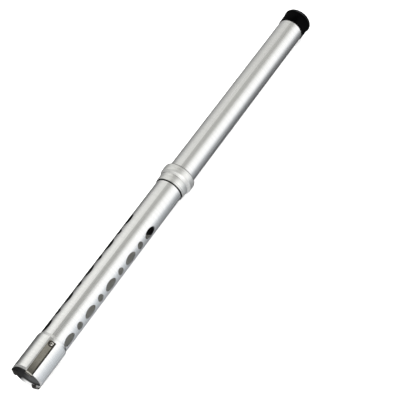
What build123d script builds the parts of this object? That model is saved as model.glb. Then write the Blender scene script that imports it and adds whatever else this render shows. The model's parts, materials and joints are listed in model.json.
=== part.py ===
from build123d import *
from math import cos, radians, tan
import os

# Telescopic golf ball retriever.  Two thin aluminium tubes slide in each other.  The lower tube is
# perforated and flared at its mouth, where three spring steel clips let a ball in and hold it.
# A twist-lock collar grips the upper tube, and a rubber cap closes the handle end.
#
# The object lies along X: the mouth is at -X, the capped end at +X.  Z = 0 is the surface under the
# collar, which is the widest piece, and X = 0 is the middle of the overall length.
# In every section below, the first coordinate is the place along X and the second is the radius.

# ---- driving dimensions, millimetres and degrees ----
overall_length = 830.0
collar_radius = 28.1
lower_radius = 23.2
upper_radius = 22.65
mouth_radius = 24.9
tube_wall = 0.45
slide_fit = 0.06

row_count = 3
row_step = 360.0 / row_count
clip_angle = 19.0
hole_row_angle = 67.0

tongue_reach = 2.6
rim_to_collar = 407.5
insertion = 92.0

# ---- places along X ----
rim_x = -overall_length / 2 + tongue_reach
collar_x = rim_x + rim_to_collar
cap_end_x = overall_length / 2
tube_end_past_collar = 1.0
lower_end_x = collar_x + tube_end_past_collar
upper_start_x = collar_x - insertion

tube_axis = Axis((0, 0, collar_radius), (1, 0, 0))
row_angles = [row * row_step for row in range(row_count)]


def section_plane(angle=0.0):
    """Plane through the tube's axis: local x runs along the tube, local y is the radius at angle."""
    tangent = Plane.XZ.rotated((angle, 0, 0)).z_dir
    return Plane(origin=(0, 0, collar_radius), x_dir=(1, 0, 0), z_dir=tangent)


def radial_plane(angle, x, radius=0.0):
    """Plane square to the radius at angle, at that radius: local x runs along the tube."""
    outward = section_plane(angle).y_dir
    flat = Plane(origin=(x, 0, collar_radius), x_dir=(1, 0, 0), z_dir=outward)
    return flat.offset(radius)


def radial_axis(angle, x):
    """Line that runs out from the tube's axis at angle."""
    flat = radial_plane(angle, x)
    return Axis(flat.origin, flat.z_dir)


def ring_about_tube(points):
    """Ring about the tube's axis, from the corners of its section."""
    with BuildPart() as ring:
        with BuildSketch(section_plane()):
            with BuildLine():
                Polyline(*points, close=True)
            make_face()
        revolve(axis=tube_axis)
    return ring


def save(piece, name):
    """Label a finished piece and write it to its own file."""
    piece.part.label = name
    export_step(piece.part, f"parts/{name}.step")


os.makedirs("parts", exist_ok=True)

# ---- lower tube: drawn aluminium, with a flared mouth, a turned-in rim, drain and rivet holes ----
rim_bevel_length = 3.4
rim_bevel_depth = 0.8
shoulder_x = rim_x + 62.5
shoulder_length = 4.0
shoulder_blend = 4.0

oval_length = 25.0
oval_width = 14.0
round_hole_radius = 6.2
oval_count = 5
oval_pitch = 55.0
first_oval_x = collar_x - 108.8

clip_length = 58.0
rivet_to_strip_end = 4.6
rivet_x = rim_x + clip_length - rivet_to_strip_end
rivet_hole_radius = 2.05


def make_hole_row(angle):
    """Prisms of one row of drain holes: ovals at the pitch, with a round hole between each two."""
    with BuildPart() as hole_row:
        for index in range(2 * oval_count - 1):
            with BuildSketch(radial_plane(angle, first_oval_x - index * oval_pitch / 2)):
                if index % 2 == 0:
                    Ellipse(oval_length / 2, oval_width / 2)
                else:
                    Circle(round_hole_radius)
            extrude(amount=collar_radius)
    return hole_row


with BuildPart() as lower_tube:
    with BuildSketch(section_plane()):
        with BuildLine():
            FilletPolyline(
                (rim_x, mouth_radius - rim_bevel_depth),
                (rim_x + rim_bevel_length, mouth_radius),
                (shoulder_x, mouth_radius),
                (shoulder_x + shoulder_length, lower_radius),
                (lower_end_x, lower_radius),
                radius=(tube_wall, shoulder_blend, shoulder_blend),
            )
            offset(amount=tube_wall, side=Side.RIGHT)
        make_face()
    revolve(axis=tube_axis)
    for row_angle in row_angles:
        add(make_hole_row(hole_row_angle + row_angle).part, mode=Mode.SUBTRACT)
        with BuildSketch(radial_plane(clip_angle + row_angle, rivet_x)):
            Circle(rivet_hole_radius)
        extrude(amount=collar_radius, mode=Mode.SUBTRACT)
save(lower_tube, "lower_tube")

# ---- spring clips: a hardened strip riveted near the shoulder and folded over the rim ----
clip_width = 11.4
clip_thickness = 0.5
clip_lift = 0.15
clip_outer = mouth_radius + clip_lift + clip_thickness
clip_end_corner = 0.8
rivet_to_flex = 8.0
flex_x = rivet_x - rivet_to_flex
flex_gap = 0.3

crease_radius = 1.6
crease_height = 20.6
tip_height = 16.3
bend_radius = 2.0
tongue_lean = 10.0
tip_lean = 35.0

# The crease is rounded, so its sharp corner lies beyond the reach of the finished strip.
lean_cosines = cos(radians(tongue_lean)) + cos(radians(tip_lean))
crease_rounding = crease_radius * (lean_cosines / (1 + cos(radians(tongue_lean + tip_lean))) - 1)
crease_x = rim_x - tongue_reach - crease_rounding
bend_x = crease_x + (clip_outer - crease_height) * tan(radians(tongue_lean))
tip_x = crease_x + (crease_height - tip_height) * tan(radians(tip_lean))
tip_corner = 1.0


def make_clip_base(angle):
    """Riveted root of a clip: the flat strip from its square end to where it begins to flex."""
    start = flex_x + flex_gap / 2
    end = rim_x + clip_length
    with BuildPart() as base:
        with BuildSketch(radial_plane(angle, 0, clip_outer - clip_thickness)):
            with Locations(((start + end) / 2, 0)):
                outline = Rectangle(end - start, clip_width)
            fillet(outline.vertices().group_by(Axis.X)[-1], clip_end_corner)
            with Locations((rivet_x, 0)):
                Circle(rivet_hole_radius, mode=Mode.SUBTRACT)
        extrude(amount=clip_thickness)
    return base


def make_clip_leaf(angle):
    """Free part of a clip: the flat leaf, the fold round the rim, and the creased tongue."""
    with BuildPart() as leaf:
        with BuildSketch(section_plane(angle)):
            with BuildLine():
                FilletPolyline(
                    (flex_x - flex_gap / 2, clip_outer),
                    (bend_x, clip_outer),
                    (crease_x, crease_height),
                    (tip_x, tip_height),
                    radius=(bend_radius, crease_radius),
                )
                offset(amount=clip_thickness, side=Side.LEFT)
            make_face()
        extrude(amount=clip_width / 2, both=True)
        outward = Axis((0, 0, 0), section_plane(angle).y_dir)
        tip = leaf.faces().sort_by(outward)[0]
        fillet(tip.edges().filter_by(GeomType.LINE).sort_by(SortBy.LENGTH)[:2], tip_corner)
    return leaf


for number, row_angle in enumerate(row_angles, start=1):
    save(make_clip_base(clip_angle + row_angle), f"clip_base_{number}")
    save(make_clip_leaf(clip_angle + row_angle), f"clip_leaf_{number}")

# ---- blind rivets: a domed hollow body set through strip and tube, and the broken mandrel inside ----
rivet_head_radius = 3.6
rivet_rim_height = 0.25
rivet_dome_height = 1.15
rivet_dome_radius = 1.7
rivet_dome_bulge = 0.15
rivet_bore_chamfer = 0.3
rivet_shank_radius = 2.0
rivet_tail_radius = 2.8
rivet_tail_length = 1.1
rivet_tail_gap = 0.2
mandrel_radius = 1.05
mandrel_head_radius = 1.7
mandrel_head_length = 0.75
mandrel_recess = 0.55

rivet_dome_top = clip_outer + rivet_dome_height
rivet_dome_middle = clip_outer + (rivet_rim_height + rivet_dome_height) / 2 + rivet_dome_bulge
rivet_tail_top = mouth_radius - tube_wall - rivet_tail_gap
rivet_tail_height = rivet_tail_top - rivet_tail_length


def make_rivet(angle):
    """Rivet body, turned about its own radial axis: tail inside the tube, domed head on the strip."""
    with BuildPart() as rivet:
        with BuildSketch(section_plane(angle)):
            with BuildLine():
                head_side = Line(
                    (rivet_x + rivet_head_radius, clip_outer),
                    (rivet_x + rivet_head_radius, clip_outer + rivet_rim_height),
                )
                dome = ThreePointArc(
                    head_side @ 1,
                    (rivet_x + (rivet_head_radius + rivet_dome_radius) / 2, rivet_dome_middle),
                    (rivet_x + rivet_dome_radius, rivet_dome_top),
                )
                Polyline(
                    dome @ 1,
                    (rivet_x + mandrel_radius, rivet_dome_top - rivet_bore_chamfer),
                    (rivet_x + mandrel_radius, rivet_tail_height),
                    (rivet_x + rivet_tail_radius, rivet_tail_height + rivet_bore_chamfer),
                    (rivet_x + rivet_tail_radius, rivet_tail_top),
                    (rivet_x + rivet_shank_radius, rivet_tail_top),
                    (rivet_x + rivet_shank_radius, clip_outer),
                    head_side @ 0,
                )
            make_face()
        revolve(axis=radial_axis(angle, rivet_x))
    return rivet


def make_mandrel(angle):
    """Broken mandrel: its stem fills the rivet's bore, and its head caps the rivet's tail."""
    head_height = rivet_tail_height - mandrel_head_length
    with BuildPart() as mandrel:
        with BuildSketch(radial_plane(angle, rivet_x, head_height)):
            Circle(mandrel_head_radius)
        extrude(amount=mandrel_head_length)
        fillet(mandrel.faces().sort_by(radial_axis(angle, rivet_x))[0].edges(), mandrel_head_length / 2)
        with BuildSketch(radial_plane(angle, rivet_x, rivet_tail_height)):
            Circle(mandrel_radius)
        extrude(amount=rivet_dome_top - mandrel_recess - rivet_tail_height)
    return mandrel


for number, row_angle in enumerate(row_angles, start=1):
    save(make_rivet(clip_angle + row_angle), f"rivet_{number}")
    save(make_mandrel(clip_angle + row_angle), f"rivet_mandrel_{number}")

# ---- collar core: fixed on the lower tube's end, threaded outside, with a cone seat inside ----
core_start_x = collar_x - 8.0
thread_start_x = collar_x + 1.0
core_end_x = collar_x + 8.0
core_neck_radius = 24.0
thread_radius = 25.7
core_bore_radius = upper_radius + 0.1
seat_start_x = core_end_x - 3.0
seat_root_radius = core_bore_radius + 0.4
seat_mouth_radius = 24.3

collar_core = ring_about_tube(
    [
        (core_start_x, lower_radius),
        (core_start_x, core_neck_radius),
        (thread_start_x, core_neck_radius),
        (thread_start_x, thread_radius),
        (core_end_x, thread_radius),
        (core_end_x, seat_mouth_radius),
        (seat_start_x, seat_root_radius),
        (seat_start_x, core_bore_radius),
        (lower_end_x, core_bore_radius),
        (lower_end_x, lower_radius),
    ]
)
save(collar_core, "collar_core")

# ---- clamp ring: a split wedge that closes on the upper tube when the nut pushes it into the seat ----
clamp_bore_radius = upper_radius + slide_fit
clamp_nose_x = seat_start_x + 0.5
clamp_nose_radius = seat_root_radius - 0.05
clamp_shoulder_x = core_end_x + 0.3
clamp_shoulder_radius = seat_mouth_radius - 0.1
clamp_end_x = core_end_x + 1.4
clamp_outer_radius = seat_mouth_radius + 0.1
clamp_split = 2.0

with BuildPart() as clamp_ring:
    with BuildSketch(section_plane()):
        with BuildLine():
            Polyline(
                (clamp_nose_x, clamp_bore_radius),
                (clamp_nose_x, clamp_nose_radius),
                (clamp_shoulder_x, clamp_shoulder_radius),
                (clamp_end_x, clamp_outer_radius),
                (clamp_end_x, clamp_bore_radius),
                close=True,
            )
        make_face()
    revolve(axis=tube_axis)
    with BuildSketch(radial_plane(0, (clamp_nose_x + clamp_end_x) / 2)):
        Rectangle(2 * (clamp_end_x - clamp_nose_x), clamp_split)
    extrude(amount=collar_radius, mode=Mode.SUBTRACT)
save(clamp_ring, "clamp_ring")

# ---- thrust washer: lets the nut turn on the clamp ring without dragging it round ----
washer_thickness = 0.8
washer_start_x = clamp_end_x
washer_end_x = washer_start_x + washer_thickness
washer_bore_radius = upper_radius + 0.3
washer_outer_radius = 25.4

thrust_washer = ring_about_tube(
    [
        (washer_start_x, washer_bore_radius),
        (washer_start_x, washer_outer_radius),
        (washer_end_x, washer_outer_radius),
        (washer_end_x, washer_bore_radius),
    ]
)
save(thrust_washer, "thrust_washer")

# ---- lock nut: the whole visible collar, a skirt over the lower tube that swells into a grip ----
skirt_start_x = collar_x - 18.2
skirt_radius = 24.9
skirt_bore_radius = lower_radius + 0.3
swell_start_x = collar_x - 5.0
swell_start_radius = 25.15
swell_end_x = collar_x + 2.8
grip_end_x = collar_x + 12.0
nut_end_x = collar_x + 16.3
nut_lip_radius = 24.0
nut_bore_radius = upper_radius + 0.15
nut_shoulder_x = washer_end_x + 0.1
thread_bore_radius = thread_radius + 0.08
neck_bore_radius = core_neck_radius + 0.3
unscrew_room = 1.5
seal_seat_depth = 1.6
seal_seat_radius = 24.3
wiper_groove_x = nut_shoulder_x + 1.8
wiper_groove_width = 2.0
wiper_groove_radius = 23.7
wiper_groove_overcut = 1.0

with BuildPart() as lock_nut:
    with BuildSketch(section_plane()):
        with BuildLine():
            skirt = Line((skirt_start_x, skirt_radius), (swell_start_x, swell_start_radius))
            swell = Spline(skirt @ 1, (swell_end_x, collar_radius), tangents=[skirt % 1, (1, 0)])
            grip = Line(swell @ 1, (grip_end_x, collar_radius))
            lip = TangentArc(grip @ 1, (nut_end_x, nut_lip_radius), tangent=(1, 0))
            Polyline(
                lip @ 1,
                (nut_end_x, nut_bore_radius),
                (nut_shoulder_x, nut_bore_radius),
                (nut_shoulder_x, thread_bore_radius),
                (thread_start_x - unscrew_room, thread_bore_radius),
                (thread_start_x - unscrew_room, neck_bore_radius),
                (core_start_x - unscrew_room, neck_bore_radius),
                (core_start_x - unscrew_room, skirt_bore_radius),
                (skirt_start_x + seal_seat_depth, skirt_bore_radius),
                (skirt_start_x + seal_seat_depth, seal_seat_radius),
                (skirt_start_x, seal_seat_radius),
                skirt @ 0,
            )
        make_face()
        with BuildLine():
            Polyline(
                (wiper_groove_x, nut_bore_radius - wiper_groove_overcut),
                (wiper_groove_x, wiper_groove_radius),
                (wiper_groove_x + wiper_groove_width, wiper_groove_radius),
                (wiper_groove_x + wiper_groove_width, nut_bore_radius - wiper_groove_overcut),
                close=True,
            )
        make_face(mode=Mode.SUBTRACT)
    revolve(axis=tube_axis)
save(lock_nut, "lock_nut")

# ---- skirt seal: a soft ring seated in the skirt's end, with a thin lip that stands out below it ----
seal_lip_length = 1.6
seal_lip_radius = 23.65
seal_side_gap = 0.05
seal_bore_radius = lower_radius + slide_fit
seal_lip_x = skirt_start_x - seal_lip_length
seal_end_x = skirt_start_x + seal_seat_depth - seal_side_gap
seal_outer_radius = seal_seat_radius - seal_side_gap

skirt_seal = ring_about_tube(
    [
        (seal_lip_x, seal_bore_radius),
        (seal_lip_x, seal_lip_radius),
        (skirt_start_x, seal_lip_radius),
        (skirt_start_x, seal_outer_radius),
        (seal_end_x, seal_outer_radius),
        (seal_end_x, seal_bore_radius),
    ]
)
save(skirt_seal, "skirt_seal")

# ---- wiper ring: a soft lip in the nut's mouth that keeps grit off the clamp ----
wiper_side_gap = 0.1
wiper_start_x = wiper_groove_x + wiper_side_gap
wiper_end_x = wiper_groove_x + wiper_groove_width - wiper_side_gap
wiper_outer_radius = wiper_groove_radius - 0.05
wiper_bore_radius = upper_radius + slide_fit

wiper_ring = ring_about_tube(
    [
        (wiper_start_x, wiper_bore_radius),
        (wiper_start_x, wiper_outer_radius),
        (wiper_end_x, wiper_outer_radius),
        (wiper_end_x, wiper_bore_radius),
    ]
)
save(wiper_ring, "wiper_ring")

# ---- upper tube: plain drawn aluminium, the handle ----
cap_floor = 3.0
cap_floor_gap = 0.3
upper_end_x = cap_end_x - cap_floor - cap_floor_gap
upper_bore_radius = upper_radius - tube_wall

upper_tube = ring_about_tube(
    [
        (upper_start_x, upper_bore_radius),
        (upper_start_x, upper_radius),
        (upper_end_x, upper_radius),
        (upper_end_x, upper_bore_radius),
    ]
)
save(upper_tube, "upper_tube")

# ---- guide bush: pushed into the upper tube's lower end, its flange runs in the lower tube ----
bush_flange_length = 6.0
bush_plug_length = 12.0
bush_bore_radius = 21.6
bush_flange_radius = lower_radius - tube_wall - slide_fit

guide_bush = ring_about_tube(
    [
        (upper_start_x - bush_flange_length, bush_bore_radius),
        (upper_start_x - bush_flange_length, bush_flange_radius),
        (upper_start_x, bush_flange_radius),
        (upper_start_x, upper_bore_radius),
        (upper_start_x + bush_plug_length, upper_bore_radius),
        (upper_start_x + bush_plug_length, bush_bore_radius),
    ]
)
save(guide_bush, "guide_bush")

# ---- end cap: a moulded rubber cup pushed over the handle end, with a rolled lip to pull it by ----
cap_length = 29.5
cap_start_x = cap_end_x - cap_length
cap_start_radius = 23.65
cap_waist_x = cap_end_x - 10.5
cap_waist_radius = 24.0
cap_lip_x = cap_end_x - 4.0
cap_lip_radius = 25.1
cap_face_radius = 23.3
cap_bore_radius = upper_radius + slide_fit
cap_plug_outer = upper_bore_radius - 0.1
cap_plug_inner = 20.6
cap_plug_draft = 0.4
cap_plug_length = 7.0
cap_floor_x = cap_end_x - cap_floor
cap_plug_x = cap_floor_x - cap_plug_length

with BuildPart() as end_cap:
    with BuildSketch(section_plane()):
        with BuildLine():
            body = Line((cap_start_x, cap_start_radius), (cap_waist_x, cap_waist_radius))
            flare = Spline(body @ 1, (cap_lip_x, cap_lip_radius), tangents=[body % 1, (1, 0)])
            nose = TangentArc(flare @ 1, (cap_end_x, cap_face_radius), tangent=(1, 0))
            Polyline(
                nose @ 1,
                (cap_end_x, 0),
                (cap_floor_x, 0),
                (cap_floor_x, cap_plug_inner),
                (cap_plug_x, cap_plug_inner + cap_plug_draft),
                (cap_plug_x, cap_plug_outer),
                (cap_floor_x, cap_plug_outer),
                (cap_floor_x, cap_bore_radius),
                (cap_start_x, cap_bore_radius),
                body @ 0,
            )
        make_face()
    revolve(axis=tube_axis)
save(end_cap, "end_cap")
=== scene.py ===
import json
import math

import bmesh
import bpy
from mathutils import Matrix, Vector


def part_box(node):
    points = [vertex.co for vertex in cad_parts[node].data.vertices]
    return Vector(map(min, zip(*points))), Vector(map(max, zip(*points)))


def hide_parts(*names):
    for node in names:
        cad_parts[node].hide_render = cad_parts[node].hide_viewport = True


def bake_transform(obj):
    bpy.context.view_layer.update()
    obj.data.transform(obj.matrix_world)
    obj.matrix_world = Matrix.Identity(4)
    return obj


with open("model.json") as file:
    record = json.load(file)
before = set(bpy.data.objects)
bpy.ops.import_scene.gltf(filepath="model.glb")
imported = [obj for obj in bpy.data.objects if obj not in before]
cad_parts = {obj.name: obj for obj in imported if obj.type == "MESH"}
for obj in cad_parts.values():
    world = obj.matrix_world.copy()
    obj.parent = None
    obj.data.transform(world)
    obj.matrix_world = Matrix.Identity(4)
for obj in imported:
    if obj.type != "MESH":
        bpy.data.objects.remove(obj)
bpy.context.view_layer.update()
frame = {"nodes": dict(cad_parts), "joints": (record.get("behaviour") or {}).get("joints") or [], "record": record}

# Telescopic golf ball retriever, in metres.  The tube lies along X, with its mouth at -X and its
# capped end at +X.  Angles about the tube are measured from +Z towards -Y.

# ---- places, from the frame ----
tube_low, tube_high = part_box("lower_tube")
axis_z = (tube_low.z + tube_high.z) / 2
rim_x = tube_low.x
collar_x = tube_high.x - 0.001
mouth_radius = (tube_high.z - tube_low.z) / 2
rivet_low, rivet_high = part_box("rivet_1")
rivet_x = (rivet_low.x + rivet_high.x) / 2
collar_crease_x = collar_x - 0.005
cap_lip_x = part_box("end_cap")[1].x - 0.0045
joints = {joint["name"]: joint for joint in frame["joints"]}
slots = {part["node"]: part["material_slot"] for part in frame["record"]["subparts"]}


def clip_angle(number):
    """Angle of a clip about the tube, from the axis that its leaf's hinge turns about."""
    axis = joints[f"clip_{number}_flex"]["axis"]
    return math.atan2(axis[2], axis[1])


# ---- material helpers ----


def new_material(name, **constants):
    """A material and its Principled shader, whose named inputs have these constant values."""
    material = bpy.data.materials.new(name)
    material.use_nodes = True
    shader = material.node_tree.nodes["Principled BSDF"]
    for socket, value in constants.items():
        shader.inputs[socket.replace("_", " ")].default_value = value
    return material, shader


def paint(tree, shader, colour, roughness):
    """Gives the shader this colour and roughness."""
    tree.links.new(colour, shader.inputs["Base Color"])
    tree.links.new(roughness, shader.inputs["Roughness"])


def object_noise(tree, scale, detail=3.0):
    """Noise over the object's own coordinates; scale is how many features a metre holds along X, Y, Z."""
    place = tree.nodes.new("ShaderNodeTexCoord")
    stretch = tree.nodes.new("ShaderNodeMapping")
    stretch.inputs["Scale"].default_value = scale
    noise = tree.nodes.new("ShaderNodeTexNoise")
    noise.inputs["Scale"].default_value = 1.0
    noise.inputs["Detail"].default_value = detail
    noise.inputs["Roughness"].default_value = 0.5
    noise.inputs["Distortion"].default_value = 0.0
    tree.links.new(place.outputs["Object"], stretch.inputs["Vector"])
    tree.links.new(stretch.outputs["Vector"], noise.inputs["Vector"])
    return noise.outputs["Fac"]


def spread(tree, value, low, high, new_low, new_high):
    """Maps value from low..high to new_low..new_high, and holds it there."""
    change = tree.nodes.new("ShaderNodeMapRange")
    change.clamp = True
    change.inputs["From Min"].default_value = low
    change.inputs["From Max"].default_value = high
    change.inputs["To Min"].default_value = new_low
    change.inputs["To Max"].default_value = new_high
    tree.links.new(value, change.inputs["Value"])
    return change.outputs["Result"]


def stepped_tint(tree, value, stops):
    """Colour that runs through the stops, each a position from 0 to 1 and the colour there."""
    ramp = tree.nodes.new("ShaderNodeValToRGB")
    while len(ramp.color_ramp.elements) < len(stops):
        ramp.color_ramp.elements.new(0.5)
    for element, (position, colour) in zip(ramp.color_ramp.elements, stops):
        element.position = position
        element.color = (*colour, 1.0)
    tree.links.new(value, ramp.inputs["Fac"])
    return ramp.outputs["Color"]


def tint(tree, value, dark, light, low=0.3, high=0.7):
    """Colour that runs from dark to light as value goes from low to high."""
    return stepped_tint(tree, value, ((low, dark), (high, light)))


def blend_colours(tree, factor, first, second, how="MIX"):
    """Mixes two colours: first where factor is 0, second where it is 1."""
    mix = tree.nodes.new("ShaderNodeMix")
    mix.data_type = "RGBA"
    mix.blend_type = how
    tree.links.new(factor, mix.inputs["Factor"])
    tree.links.new(first, mix.inputs["A"])
    tree.links.new(second, mix.inputs["B"])
    return mix.outputs["Result"]


def bump(tree, shader, height, depth, below=None):
    """Adds a relief of that depth in metres to the shader's normal, on top of another one if given."""
    relief = tree.nodes.new("ShaderNodeBump")
    relief.inputs["Strength"].default_value = 1.0
    relief.inputs["Distance"].default_value = depth
    tree.links.new(height, relief.inputs["Height"])
    if below is not None:
        tree.links.new(below, relief.inputs["Normal"])
    tree.links.new(relief.outputs["Normal"], shader.inputs["Normal"])
    return relief.outputs["Normal"]


def calculate(tree, operation, *values):
    """A Math node of this operation, whose inputs are sockets or numbers."""
    node = tree.nodes.new("ShaderNodeMath")
    node.operation = operation
    for socket, value in zip(node.inputs, values):
        if isinstance(value, float):
            socket.default_value = value
        else:
            tree.links.new(value, socket)
    return node.outputs["Value"]


def hypotenuse(tree, first, second):
    """Length of the line whose two square components these are."""
    squares = [calculate(tree, "POWER", value, 2.0) for value in (first, second)]
    return calculate(tree, "SQRT", calculate(tree, "ADD", *squares))


def separate(tree, output):
    """X, Y and Z of this output of a Texture Coordinate node."""
    place = tree.nodes.new("ShaderNodeTexCoord")
    split = tree.nodes.new("ShaderNodeSeparateXYZ")
    tree.links.new(place.outputs[output], split.inputs["Vector"])
    return split.outputs


def own_place(tree):
    """X, Y and Z of the object's own coordinates."""
    return separate(tree, "Object")


def facing_cap(tree):
    """1 where the surface faces along the tube towards its cap, -1 where it faces its mouth."""
    return separate(tree, "Normal")["X"]


def facing_out(tree):
    """1 where the surface faces straight out from the tube's axis, -1 where it faces the axis."""
    place = tree.nodes.new("ShaderNodeTexCoord")
    shift = tree.nodes.new("ShaderNodeVectorMath")
    shift.operation = "SUBTRACT"
    shift.inputs[1].default_value = (0.0, 0.0, axis_z)
    flatten = tree.nodes.new("ShaderNodeVectorMath")
    flatten.operation = "MULTIPLY"
    flatten.inputs[1].default_value = (0.0, 1.0, 1.0)
    unit = tree.nodes.new("ShaderNodeVectorMath")
    unit.operation = "NORMALIZE"
    compare = tree.nodes.new("ShaderNodeVectorMath")
    compare.operation = "DOT_PRODUCT"
    tree.links.new(place.outputs["Object"], shift.inputs[0])
    tree.links.new(shift.outputs["Vector"], flatten.inputs[0])
    tree.links.new(flatten.outputs["Vector"], unit.inputs[0])
    tree.links.new(unit.outputs["Vector"], compare.inputs[0])
    tree.links.new(place.outputs["Normal"], compare.inputs[1])
    return compare.outputs["Value"]


def around_tube(tree):
    """Angle about the tube's axis and distance from it, from the object's own coordinates."""
    place = own_place(tree)
    height = calculate(tree, "SUBTRACT", place["Z"], axis_z)
    sideways = calculate(tree, "MULTIPLY", place["Y"], -1.0)
    angle = calculate(tree, "ARCTAN2", sideways, height)
    return angle, hypotenuse(tree, sideways, height)


def across_clip(tree):
    """Distance sideways from the middle of the nearest clip, positive towards greater angles."""
    angle, radius = around_tube(tree)
    from_first = calculate(tree, "SUBTRACT", angle, clip_angle(1))
    half_spacing = math.pi / 3
    swing = calculate(tree, "WRAP", from_first, half_spacing, -half_spacing)
    return calculate(tree, "MULTIPLY", radius, calculate(tree, "SINE", swing))


def in_lower_two(tree):
    """1 in the lower two clips, 0 in the first one."""
    angle, _ = around_tube(tree)
    from_first = calculate(tree, "SUBTRACT", angle, clip_angle(1))
    return spread(tree, calculate(tree, "COSINE", from_first), -0.2, 0.2, 1.0, 0.0)


def near_rivet(tree, near, far, amount):
    """amount up to the near distance from the nearest rivet's middle, fading to 0 at the far one."""
    lengthwise = calculate(tree, "SUBTRACT", own_place(tree)["X"], rivet_x)
    return spread(tree, hypotenuse(tree, lengthwise, across_clip(tree)), near, far, amount, 0.0)


def near_place(tree, x, near, far, amount):
    """amount up to the near distance along the tube from x, fading to 0 at the far one."""
    lengthwise = calculate(tree, "SUBTRACT", own_place(tree)["X"], x)
    return spread(tree, calculate(tree, "ABSOLUTE", lengthwise), near, far, amount, 0.0)


# ---- materials ----


def bore_painted_light(tree, shade):
    """The bore's painted light and shade: a painted pale lit band in the rim, painted near-black shade just behind
    it, then dim, and paler further in.  The side towards +Y gets painted shade."""
    depth = spread(tree, own_place(tree)["X"], rim_x, rim_x + 0.1, 0.0, 1.0)
    # Painted light by depth: pale where light from the mouth falls, near black where the bore is in shade.
    stops = (
        (0.0, (0.92, 0.92, 0.92)),
        (0.035, (0.90, 0.90, 0.90)),
        (0.05, (0.012, 0.012, 0.013)),
        (0.062, (0.014, 0.014, 0.015)),
        (0.085, (0.088, 0.090, 0.091)),
        (0.30, (0.080, 0.082, 0.083)),
        (0.60, (0.38, 0.38, 0.36)),
    )
    in_shade = spread(tree, own_place(tree)["Y"], 0.004, 0.014, 0.0, 1.0)
    return blend_colours(tree, in_shade, stepped_tint(tree, depth, stops), shade)


def cut_walls(tree, facing):
    """Where the holes' walls get painted shade: 1 on the walls of the holes, 0 on the tube's skin and bore, and on
    its rim.
    """
    edge_on = spread(tree, calculate(tree, "ABSOLUTE", facing), 0.6, 0.8, 1.0, 0.0)
    past_rim = spread(tree, own_place(tree)["X"], rim_x + 0.004, rim_x + 0.006, 0.0, 1.0)
    return calculate(tree, "MULTIPLY", edge_on, past_rim)


def anodised_aluminium():
    """Satin anodised tube: fine rings from polishing round the tube, and faint lengthwise draw marks.
    Its bore is dull and carries painted light and shade, and the walls of its holes are painted dark as shade."""
    material, shader = new_material("satin_anodised_aluminium")
    tree = material.node_tree
    rings = object_noise(tree, (2600.0, 14.0, 14.0), detail=2.0)
    draw_marks = object_noise(tree, (5.0, 420.0, 420.0))
    clouds = object_noise(tree, (420.0, 16.0, 16.0), detail=4.0)
    facing = facing_out(tree)
    outside = spread(tree, facing, -0.7, -0.3, 0.0, 1.0)
    skin = tint(tree, clouds, (0.822, 0.822, 0.817), (0.878, 0.878, 0.873))
    # Near-black painted shade, for the bore's +Y side and the walls of the holes.
    shade = tint(tree, clouds, (0.010, 0.010, 0.010), (0.016, 0.016, 0.016))
    surface = blend_colours(tree, outside, bore_painted_light(tree, shade), skin)
    colour = blend_colours(tree, cut_walls(tree, facing), surface, shade)
    satin = spread(tree, draw_marks, 0.3, 0.7, 0.0, 0.05)
    dullness = spread(tree, facing, -0.7, -0.3, 0.62, 0.23)
    paint(tree, shader, colour, calculate(tree, "ADD", satin, dullness))
    tree.links.new(outside, shader.inputs["Metallic"])
    ring_relief = bump(tree, shader, rings, 0.000004)
    bump(tree, shader, draw_marks, 0.000004, below=ring_relief)
    return material


def strip_painted_shade(tree):
    """How much painted shade the strip gets, from 0 to 1: most along one edge, round its rivet and on the front of
    its tongue, and less along the other edge and towards its fold."""
    sideways = across_clip(tree)
    along = own_place(tree)["X"]
    behind_rim = spread(tree, along, rim_x - 0.0005, rim_x + 0.001, 0.0, 1.0)
    towards_fold = spread(tree, along, rim_x + 0.001, rim_x + 0.022, 0.55, 0.0)
    on_front = spread(tree, facing_cap(tree), -0.5, -0.25, 1.0, 0.0)
    front_shade_depth = spread(tree, in_lower_two(tree), 0.0, 1.0, 0.84, 0.97)
    # Each mark is painted shade.
    marks = (
        spread(tree, sideways, 0.0028, 0.0038, 0.0, 0.98),
        spread(tree, sideways, -0.0056, -0.0050, 0.4, 0.0),
        calculate(tree, "MULTIPLY", behind_rim, towards_fold),
        calculate(tree, "MULTIPLY", on_front, front_shade_depth),
        near_rivet(tree, 0.0046, 0.0056, 0.97),
    )
    shaded = marks[0]
    for mark in marks[1:]:
        shaded = calculate(tree, "MAXIMUM", shaded, mark)
    return shaded


def fold_painted_highlight(tree):
    """How much painted highlight the strip gets, which it does on the outside of its fold."""
    off_lean = calculate(tree, "ABSOLUTE", calculate(tree, "ADD", facing_cap(tree), 0.55))
    leaning = spread(tree, off_lean, 0.08, 0.24, 0.9, 0.0)
    outward = spread(tree, facing_out(tree), 0.4, 0.6, 0.0, 1.0)
    return calculate(tree, "MULTIPLY", leaning, outward)


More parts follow.
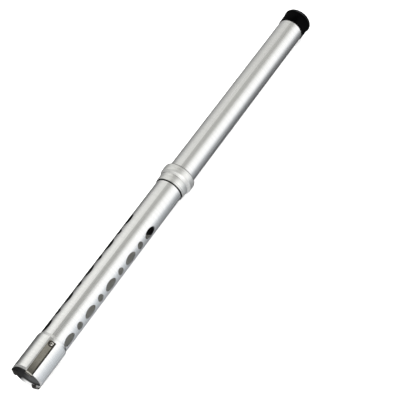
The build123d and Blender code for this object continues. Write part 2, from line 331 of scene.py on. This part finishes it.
def spring_steel():
    """Rolled spring strip with a warm bright finish, rolling lines along it, painted shade, which is darkest on
    the lower two tongues, and a painted highlight on its fold."""
    material, shader = new_material("nickel_spring_steel", Metallic=1.0)
    tree = material.node_tree
    rolling = object_noise(tree, (30.0, 1900.0, 1900.0))
    stains = object_noise(tree, (90.0, 160.0, 160.0), detail=4.0)
    face = tint(tree, stains, (0.49, 0.465, 0.405), (0.58, 0.555, 0.485))
    fold_highlight_tone = tint(tree, stains, (0.70, 0.69, 0.65), (0.80, 0.79, 0.75))
    painted_shade_tone = tint(tree, stains, (0.05, 0.046, 0.038), (0.09, 0.083, 0.07))
    deep_painted_shade = tint(tree, stains, (0.006, 0.006, 0.006), (0.016, 0.015, 0.014))
    # Painted shade: near-black fronts on the lower two tongues, where they are in shade.
    fronts = spread(tree, facing_cap(tree), -0.75, -0.6, 1.0, 0.0)
    deepest = calculate(tree, "MULTIPLY", fronts, in_lower_two(tree))
    dark = blend_colours(tree, deepest, painted_shade_tone, deep_painted_shade)
    # Painted shade on the strip's edges, round its rivet, near the rim and on the tongues' fronts.
    shaded_face = blend_colours(tree, strip_painted_shade(tree), face, dark)
    # Painted highlight: the outside of the fold is made paler.
    colour = blend_colours(tree, fold_painted_highlight(tree), shaded_face, fold_highlight_tone)
    paint(tree, shader, colour, spread(tree, rolling, 0.3, 0.7, 0.13, 0.21))
    bump(tree, shader, rolling, 0.000002)
    return material


def bright_nickel():
    """Plated rivet head, with slight dents, near-black patches at random painted in as the dome's dark
    reflections, and a dark ring at its edge.
    """
    material, shader = new_material("bright_nickel", Metallic=1.0)
    tree = material.node_tree
    dents = object_noise(tree, (560.0, 560.0, 560.0), detail=1.0)
    # Painted reflection: sharp near-black patches at random break up the bright plate, as the dome's dark
    # reflections.
    plate_and_painted_reflection = tint(tree, dents, (0.03, 0.026, 0.02), (0.95, 0.93, 0.88), low=0.47, high=0.55)
    edge_dark_tone = tint(tree, dents, (0.02, 0.018, 0.014), (0.06, 0.05, 0.04))
    colour = blend_colours(tree, near_rivet(tree, 0.0024, 0.0032, 1.0), edge_dark_tone, plate_and_painted_reflection)
    paint(tree, shader, colour, spread(tree, dents, 0.3, 0.7, 0.06, 0.12))
    bump(tree, shader, dents, 0.00006)
    return material


def torn_steel():
    """Broken end of a rivet's mandrel: dull and grainy, and painted near black as the shade in the rivet's hollow.
    """
    material, shader = new_material("torn_mandrel_steel", Metallic=1.0)
    tree = material.node_tree
    grain = object_noise(tree, (4200.0, 4200.0, 4200.0), detail=4.0)
    # Painted shade: near black, for the shade in the rivet's hollow.
    colour = tint(tree, grain, (0.02, 0.018, 0.015), (0.09, 0.085, 0.075))
    paint(tree, shader, colour, spread(tree, grain, 0.3, 0.7, 0.38, 0.60))
    bump(tree, shader, grain, 0.00006)
    return material


def silver_plastic():
    """Moulded silver plastic, mottled, with metal flake and faint rings from its turned mould, and with painted
    shade at its lip and a little painted shade in its crease."""
    material, shader = new_material("silver_moulded_plastic", Metallic=0.92)
    tree = material.node_tree
    flake = object_noise(tree, (5200.0, 5200.0, 5200.0), detail=1.0)
    rings = object_noise(tree, (700.0, 20.0, 20.0))
    mottle = object_noise(tree, (260.0, 70.0, 70.0), detail=4.0)
    silver = tint(tree, mottle, (0.60, 0.60, 0.585), (0.79, 0.79, 0.77))
    painted_shade_tone = tint(tree, flake, (0.05, 0.05, 0.048), (0.10, 0.10, 0.096))
    leaning = spread(tree, facing_cap(tree), 0.15, 0.40, 0.0, 0.9)
    not_end_face = spread(tree, facing_cap(tree), 0.6, 0.8, 1.0, 0.0)
    at_lip = calculate(tree, "MULTIPLY", leaning, not_end_face)
    in_crease = near_place(tree, collar_crease_x, 0.0003, 0.0018, 0.22)
    # Painted shade: the lip and the crease are darkened towards the shade colour.
    colour = blend_colours(tree, calculate(tree, "MAXIMUM", at_lip, in_crease), silver, painted_shade_tone)
    paint(tree, shader, colour, spread(tree, rings, 0.3, 0.7, 0.24, 0.38))
    ring_relief = bump(tree, shader, rings, 0.00005)
    bump(tree, shader, flake, 0.000006, below=ring_relief)
    return material


def moulded_plastic(name, dark, light, roughness):
    """Plain moulded plastic with an eroded mould's fine texture."""
    material, shader = new_material(name, Metallic=0.0)
    tree = material.node_tree
    texture = object_noise(tree, (2600.0, 2600.0, 2600.0))
    clouds = object_noise(tree, (70.0, 70.0, 70.0))
    uneven = spread(tree, texture, 0.3, 0.7, roughness - 0.06, roughness + 0.06)
    paint(tree, shader, tint(tree, clouds, dark, light), uneven)
    bump(tree, shader, texture, 0.00002)
    return material


def washer_steel():
    """Pressed steel washer, polished round by the nut that turns on it."""
    material, shader = new_material("pressed_washer_steel", Metallic=1.0)
    tree = material.node_tree
    wear = object_noise(tree, (300.0, 900.0, 900.0), detail=4.0)
    colour = tint(tree, wear, (0.48, 0.48, 0.47), (0.62, 0.62, 0.61))
    paint(tree, shader, colour, spread(tree, wear, 0.3, 0.7, 0.22, 0.38))
    bump(tree, shader, wear, 0.00001)
    return material


def black_rubber(name, roughness):
    """Moulded black rubber with almost no gloss: a fine pebbled skin, and a painted highlight ring at the cap's
    lip."""
    material, shader = new_material(name, Metallic=0.0, Specular_IOR_Level=0.012)
    tree = material.node_tree
    pebbles = object_noise(tree, (1700.0, 1700.0, 1700.0))
    rubbed = object_noise(tree, (60.0, 60.0, 60.0), detail=5.0)
    skin = tint(tree, rubbed, (0.0002, 0.0002, 0.00022), (0.0012, 0.0012, 0.0013))
    # Painted highlight: a paler ring at the cap's lip.
    lip_highlight_tone = tint(tree, rubbed, (0.002, 0.002, 0.0021), (0.03, 0.03, 0.031))
    at_lip = near_place(tree, cap_lip_x, 0.0005, 0.0011, 1.0)
    uneven = spread(tree, rubbed, 0.3, 0.7, roughness - 0.05, roughness + 0.07)
    paint(tree, shader, blend_colours(tree, at_lip, skin, lip_highlight_tone), uneven)
    bump(tree, shader, pebbles, 0.00003)
    return material


finishes = {
    "tube_aluminium": anodised_aluminium(),
    "clip_steel": spring_steel(),
    "rivet_nickel": bright_nickel(),
    "mandrel_steel": torn_steel(),
    "collar_plastic": silver_plastic(),
    "black_plastic": moulded_plastic("black_plastic", (0.010, 0.010, 0.011), (0.020, 0.020, 0.022), 0.5),
    "clamp_acetal": moulded_plastic("white_acetal", (0.74, 0.73, 0.69), (0.84, 0.83, 0.79), 0.35),
    "washer_steel": washer_steel(),
    "seal_rubber": black_rubber("seal_rubber", 0.6),
    "cap_rubber": black_rubber("cap_rubber", 0.42),
}

for node, thing in frame["nodes"].items():
    thing.data.materials.clear()
    thing.data.materials.append(finishes[slots[node]])


# ---- spring clips: each one continuous strip that bends where its root meets its leaf ----
strip_width = 0.0114
strip_thickness = 0.0005
strip_chamfer = 0.00008
strip_outer = mouth_radius + 0.00065
strip_end_x = rim_x + 0.058
strip_reach_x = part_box("clip_leaf_1")[0].x
station_step = 0.0004
end_corner = 0.0008
tip_corner = 0.0010
bend_radius = 0.0020
crease_radius = 0.0016
crease_height = 0.0206
tip_height = 0.0163
tongue_lean = math.radians(10)
tip_lean = math.radians(35)
rivet_hole_radius = 0.00205


def turned(point, angle):
    """A point given as place along X, sideways and radius, turned to that angle about the tube's axis."""
    along, sideways, radius = point
    outward = Vector((0.0, -math.sin(angle), math.cos(angle)))
    across = Vector((0.0, math.cos(angle), math.sin(angle)))
    return Vector((along, 0.0, axis_z)) + outward * radius + across * sideways


def rotation(angle):
    """Plane rotation, anticlockwise."""
    return Matrix.Rotation(angle, 2)


def straight(start, end, step):
    """Evenly spaced points from start up to, and without, end."""
    heading = (end - start).normalized()
    count = max(1, round((end - start).length / step))
    return [(start.lerp(end, index / count), heading) for index in range(count)]


def arc(start, into, turn, radius):
    """Points along an arc that starts in this direction and turns clockwise by this angle."""
    side = Vector((into.y, -into.x)) * math.copysign(1.0, turn)
    centre = start + side * radius
    count = max(2, round(math.degrees(abs(turn)) / 6))
    stations = []
    for index in range(count):
        swing = rotation(-turn * index / count)
        spoke = start - centre
        spoke.rotate(swing)
        heading = into.copy()
        heading.rotate(swing)
        stations.append((centre + spoke, heading))
    return stations


def rounded_path(corners, radii, step):
    """Points along a line through the corners, with its inner corners rounded, and its direction at each."""
    corners = [Vector(corner) for corner in corners]
    stations = []
    start = corners[0]
    for corner, following, radius in zip(corners[1:], corners[2:], radii):
        into = (corner - start).normalized()
        out = (following - corner).normalized()
        turn = into.angle_signed(out)
        trim = radius * math.tan(abs(turn) / 2)
        arc_start = corner - into * trim
        stations += straight(start, arc_start, step)
        stations += arc(arc_start, into, turn, radius)
        start = corner + out * trim
    heading = (corners[-1] - start).normalized()
    return stations + straight(start, corners[-1], step) + [(corners[-1], heading)]


def strip_outline():
    """The strip's outer line, from its riveted end to the tip of its tongue."""
    lean_cosines = math.cos(tongue_lean) + math.cos(tip_lean)
    rounding = crease_radius * (lean_cosines / (1 + math.cos(tongue_lean + tip_lean)) - 1)
    crease_x = strip_reach_x - rounding
    bend_x = crease_x + (strip_outer - crease_height) * math.tan(tongue_lean)
    tip_x = crease_x + (crease_height - tip_height) * math.tan(tip_lean)
    corners = [
        (strip_end_x, strip_outer),
        (bend_x, strip_outer),
        (crease_x, crease_height),
        (tip_x, tip_height),
    ]
    return rounded_path(corners, (bend_radius, crease_radius), station_step)


def half_width(from_end, from_tip):
    """Half of the strip's width at these distances from its two ends, whose corners are rounded."""
    half = strip_width / 2
    for reach, corner in ((from_end, end_corner), (from_tip, tip_corner)):
        if reach < corner:
            half -= corner - math.sqrt(corner**2 - (corner - reach) ** 2)
    return half


def strip_section(half):
    """Corners of the strip's chamfered section: how far sideways and how deep each one is."""
    return (
        (-half + strip_chamfer, 0.0),
        (half - strip_chamfer, 0.0),
        (half, strip_chamfer),
        (half, strip_thickness - strip_chamfer),
        (half - strip_chamfer, strip_thickness),
        (-half + strip_chamfer, strip_thickness),
        (-half, strip_thickness - strip_chamfer),
        (-half, strip_chamfer),
    )


def strip_loops(mesh, angle):
    """Rings of points along the strip, each its section at one station of the outline."""
    stations = strip_outline()
    lengths = [0.0]
    for (previous, _), (here, _) in zip(stations, stations[1:]):
        lengths.append(lengths[-1] + (here - previous).length)
    loops = []
    for (place, heading), length in zip(stations, lengths):
        half = half_width(length, lengths[-1] - length)
        inward = Vector((-heading.y, heading.x))
        loop = []
        for side, depth in strip_section(half):
            spot = place + inward * depth
            loop.append(mesh.verts.new(turned((spot.x, side, spot.y), angle)))
        loops.append(loop)
    return loops


def new_object(name, data):
    """Links a new object with this mesh to the scene."""
    thing = bpy.data.objects.new(name, data)
    bpy.context.scene.collection.objects.link(thing)
    return thing


def make_strip(name, angle):
    """One clip as a closed mesh: a chamfered section swept along the outline, and closed at both ends."""
    mesh = bmesh.new()
    loops = strip_loops(mesh, angle)
    for first, second in zip(loops, loops[1:]):
        for index in range(len(first)):
            following = (index + 1) % len(first)
            mesh.faces.new((first[index], first[following], second[following], second[index]))
    mesh.faces.new(loops[0])
    mesh.faces.new(loops[-1])
    bmesh.ops.recalc_face_normals(mesh, faces=mesh.faces)
    data = bpy.data.meshes.new(name)
    mesh.to_mesh(data)
    mesh.free()
    return new_object(name, data)


def cut_hole(strip, angle):
    """Cuts the rivet's hole through the strip, square to it."""
    mesh = bmesh.new()
    bmesh.ops.create_cone(
        mesh, cap_ends=True, segments=48, radius1=rivet_hole_radius, radius2=rivet_hole_radius, depth=0.01
    )
    data = bpy.data.meshes.new("hole")
    mesh.to_mesh(data)
    mesh.free()
    cutter = new_object("hole", data)
    cutter.location = turned((rivet_x, 0.0, strip_outer), angle)
    cutter.rotation_euler = (angle, 0.0, 0.0)
    cut = strip.modifiers.new("rivet_hole", "BOOLEAN")
    cut.operation = "DIFFERENCE"
    cut.solver = "EXACT"
    cut.object = cutter
    bpy.context.view_layer.update()
    cut_strip = strip.evaluated_get(bpy.context.evaluated_depsgraph_get())
    strip.data = bpy.data.meshes.new_from_object(cut_strip)
    strip.modifiers.clear()
    bpy.data.objects.remove(cutter)


def make_clip(number):
    """One clip's strip, which stands for its root and its leaf and bends between them."""
    strip = make_strip(f"clip_strip_{number}", clip_angle(number))
    cut_hole(strip, clip_angle(number))
    strip.data.materials.clear()
    strip.data.materials.append(finishes["clip_steel"])
    strip.data.shade_smooth()
    strip.data.set_sharp_from_angle(angle=math.radians(30))
    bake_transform(strip)
    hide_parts(f"clip_base_{number}", f"clip_leaf_{number}")


for number in (1, 2, 3):
    make_clip(number)


# ---- view: the camera and the light are both swung round the tube's axis by view_swing ----
view_azimuth = math.radians(-59.13)
view_elevation = math.radians(54.29)
view_swing = math.radians(-1.8)
view_distance = 1.918
lens_length = 107.3
aim_right = 0.04025
aim_up = -0.02915


# ---- floor ----


def make_floor():
    """Wide pale floor under the collar, left out of reflections so that the metal mirrors the studio."""
    half = 8.0
    corners = [(-half, -half, 0), (half, -half, 0), (half, half, 0), (-half, half, 0)]
    data = bpy.data.meshes.new("floor")
    data.from_pydata(corners, [], [(0, 1, 2, 3)])
    floor = new_object("floor", data)
    floor.location.z = -0.0005
    floor.visible_glossy = False
    material, shader = new_material("pale_floor", Roughness=0.9)
    shader.inputs["Base Color"].default_value = (0.93, 0.93, 0.93, 1.0)
    data.materials.append(material)


# ---- light ----
# What metal mirrors, as light by angle about the tube's axis.  Each stop is degrees from +Z towards
# -Y, the light's level there, and its warmth.  The tables differ by the direction along the tube.
mouth_side = (
    (-180, 0.20, 0.0),
    (-140, 0.06, 0.0),
    (-108, 0.10, 0.01),
    (-90, 0.26, 0.02),
    (-76, 0.72, 0.03),
    (-60, 1.03, 0.03),
    (-46, 1.06, 0.03),
    (-33, 0.98, 0.03),
    (-21, 0.66, 0.04),
    (-9, 0.13, 0.06),
    (20, 0.10, 0.06),
    (30, 0.90, 0.02),
    (44, 1.18, 0.0),
    (66, 1.18, 0.0),
    (80, 0.98, -0.03),
    (95, 0.80, -0.05),
    (120, 0.66, -0.05),
    (150, 0.48, -0.05),
    (180, 0.36, -0.02),
)
lower_side = (
    (-180, 0.20, 0.0),
    (-140, 0.06, 0.0),
    (-108, 0.10, 0.01),
    (-90, 0.28, 0.02),
    (-76, 0.78, 0.03),
    (-60, 0.94, 0.03),
    (-46, 0.99, 0.03),
    (-33, 0.96, 0.03),
    (-21, 0.86, 0.04),
    (-9, 0.50, 0.05),
    (3, 0.44, 0.05),
    (12, 0.62, 0.05),
    (22, 1.00, 0.03),
    (32, 1.16, 0.01),
    (50, 1.20, 0.0),
    (68, 1.15, 0.0),
    (80, 0.98, -0.03),
    (95, 0.80, -0.05),
    (120, 0.66, -0.05),
    (150, 0.48, -0.05),
    (180, 0.36, -0.02),
)
cap_side = (
    (-180, 0.05, 0.0),
    (-145, 0.12, 0.0),
    (-120, 0.28, 0.01),
    (-96, 0.42, 0.02),
    (-77, 0.51, 0.03),
    (-61, 0.61, 0.035),
    (-45, 0.64, 0.04),
    (-30, 0.63, 0.05),
    (-18, 0.55, 0.055),
    (-6, 0.42, 0.06),
    (6, 0.38, 0.06),
    (16, 0.52, 0.05),
    (27, 0.78, 0.03),
    (38, 1.02, 0.02),
    (50, 1.14, 0.01),
    (72, 1.18, 0.0),
    (85, 1.05, -0.01),
    (97, 0.62, -0.02),
    (110, 0.31, -0.03),
    (125, 0.18, -0.03),
    (145, 0.13, -0.02),
    (165, 0.08, 0.0),
)
in_front = (
    (-180, 0.72, 0.0),
    (-128, 0.70, 0.0),
    (-108, 0.58, 0.02),
    (-60, 0.55, 0.03),
    (-15, 0.60, 0.03),
    (8, 0.70, 0.03),
    (25, 1.02, 0.02),
    (45, 1.26, 0.0),
    (65, 1.16, 0.0),
    (88, 0.68, -0.02),
    (118, 0.55, -0.02),
    (138, 0.66, 0.0),
    (180, 0.72, 0.0),
)
far_ahead = (
    (-180, 0.30, 0.0),
    (-110, 0.50, 0.0),
    (-60, 0.78, 0.03),
    (-25, 0.68, 0.04),
    (-5, 0.44, 0.05),
    (18, 0.44, 0.05),
    (36, 0.92, 0.02),
    (60, 1.10, 0.0),
    (100, 1.02, -0.03),
    (140, 0.75, -0.04),
    (180, 0.40, -0.02),
)
# A dim screen on the tube's +Y side: how much light it passes by the direction along the tube.
screen = (
    (0.38, (1.0, 1.0, 1.0)),
    (0.41, (0.30, 0.30, 0.31)),
    (0.51, (0.30, 0.30, 0.31)),
    (0.55, (1.0, 1.0, 1.0)),
)


def gradient(tree, turn, stops):
    """Light by angle about the tube's axis.  Warmth takes blue away, or red where it is negative."""
    colours = []
    for degrees, level, warmth in stops:
        red = level * (1 + min(warmth, 0.0))
        blue = level * (1 - warmth)
        colours.append(((degrees + 180) / 360, (red, level, blue)))
    return stepped_tint(tree, turn, colours)


def mirrored_light(tree, turn, lengthwise):
    """What metal mirrors: a bright softbox on the -Y side and a dimmer one on the +Y side, with a dim
    gap between them above the tube.  It changes with the direction along the tube."""
    sooner = spread(tree, turn, 0.58, 0.72, 0.0, 0.02)
    capwards = calculate(tree, "ADD", lengthwise, sooner)
    light = gradient(tree, turn, mouth_side)
    for direction, start, end, stops in (
        (lengthwise, 0.34, 0.39, lower_side),
        (capwards, 0.44, 0.53, cap_side),
        (lengthwise, 0.20, 0.02, in_front),
        (lengthwise, 0.68, 0.76, far_ahead),
    ):
        amount = spread(tree, direction, start, end, 0.0, 1.0)
        light = blend_colours(tree, amount, light, gradient(tree, turn, stops))
    return light


def make_world():
    """Soft studio: metal mirrors the tuned light, and everything else is lit by a pale sky that is
    brighter beyond the mouth."""
    world = bpy.data.worlds.new("studio")
    bpy.context.scene.world = world
    world.use_nodes = True
    tree = world.node_tree
    direction = separate(tree, "Generated")
    sideways = calculate(tree, "MULTIPLY", direction["Y"], -1.0)
    angle = calculate(tree, "ARCTAN2", sideways, direction["Z"])
    swung = calculate(tree, "SUBTRACT", angle, view_swing)
    turn = spread(tree, swung, -math.pi, math.pi, 0.0, 1.0)
    lengthwise = direction["X"]
    place = spread(tree, lengthwise, -1.0, 1.0, 0.0, 1.0)
    beside = spread(tree, turn, 0.44, 0.53, 1.0, 0.0)
    light = mirrored_light(tree, turn, lengthwise)
    screened = blend_colours(tree, beside, light, stepped_tint(tree, place, screen), how="MULTIPLY")
    sky = tint(tree, place, (4.2, 4.2, 4.2), (1.7, 1.7, 1.7), low=0.1, high=0.5)
    is_mirrored = tree.nodes.new("ShaderNodeLightPath").outputs["Is Glossy Ray"]
    colour = blend_colours(tree, is_mirrored, sky, screened)
    tree.links.new(colour, tree.nodes["Background"].inputs["Color"])


# ---- camera ----


def make_camera():
    """Camera with a long lens, aimed a little to the side of the collar."""
    right = Vector((math.cos(view_azimuth), math.sin(view_azimuth), 0.0))
    back = Vector((
        math.sin(view_azimuth) * math.cos(view_elevation),
        -math.cos(view_azimuth) * math.cos(view_elevation),
        math.sin(view_elevation),
    ))
    swing = Matrix.Rotation(view_swing, 3, "X")
    right = swing @ right
    back = swing @ back
    up = back.cross(right)
    aim = Vector((collar_x, 0.0, axis_z)) + right * aim_right + up * aim_up
    data = bpy.data.cameras.new("camera")
    data.lens = lens_length
    data.sensor_width = 36.0
    data.clip_start = 0.05
    camera = new_object("camera", data)
    camera.location = aim + back * view_distance
    camera.rotation_mode = "QUATERNION"
    camera.rotation_quaternion = Matrix((right, up, back)).transposed().to_quaternion()
    bpy.context.scene.camera = camera


make_floor()
make_world()
make_camera()
bpy.context.scene.view_settings.view_transform = "Standard"
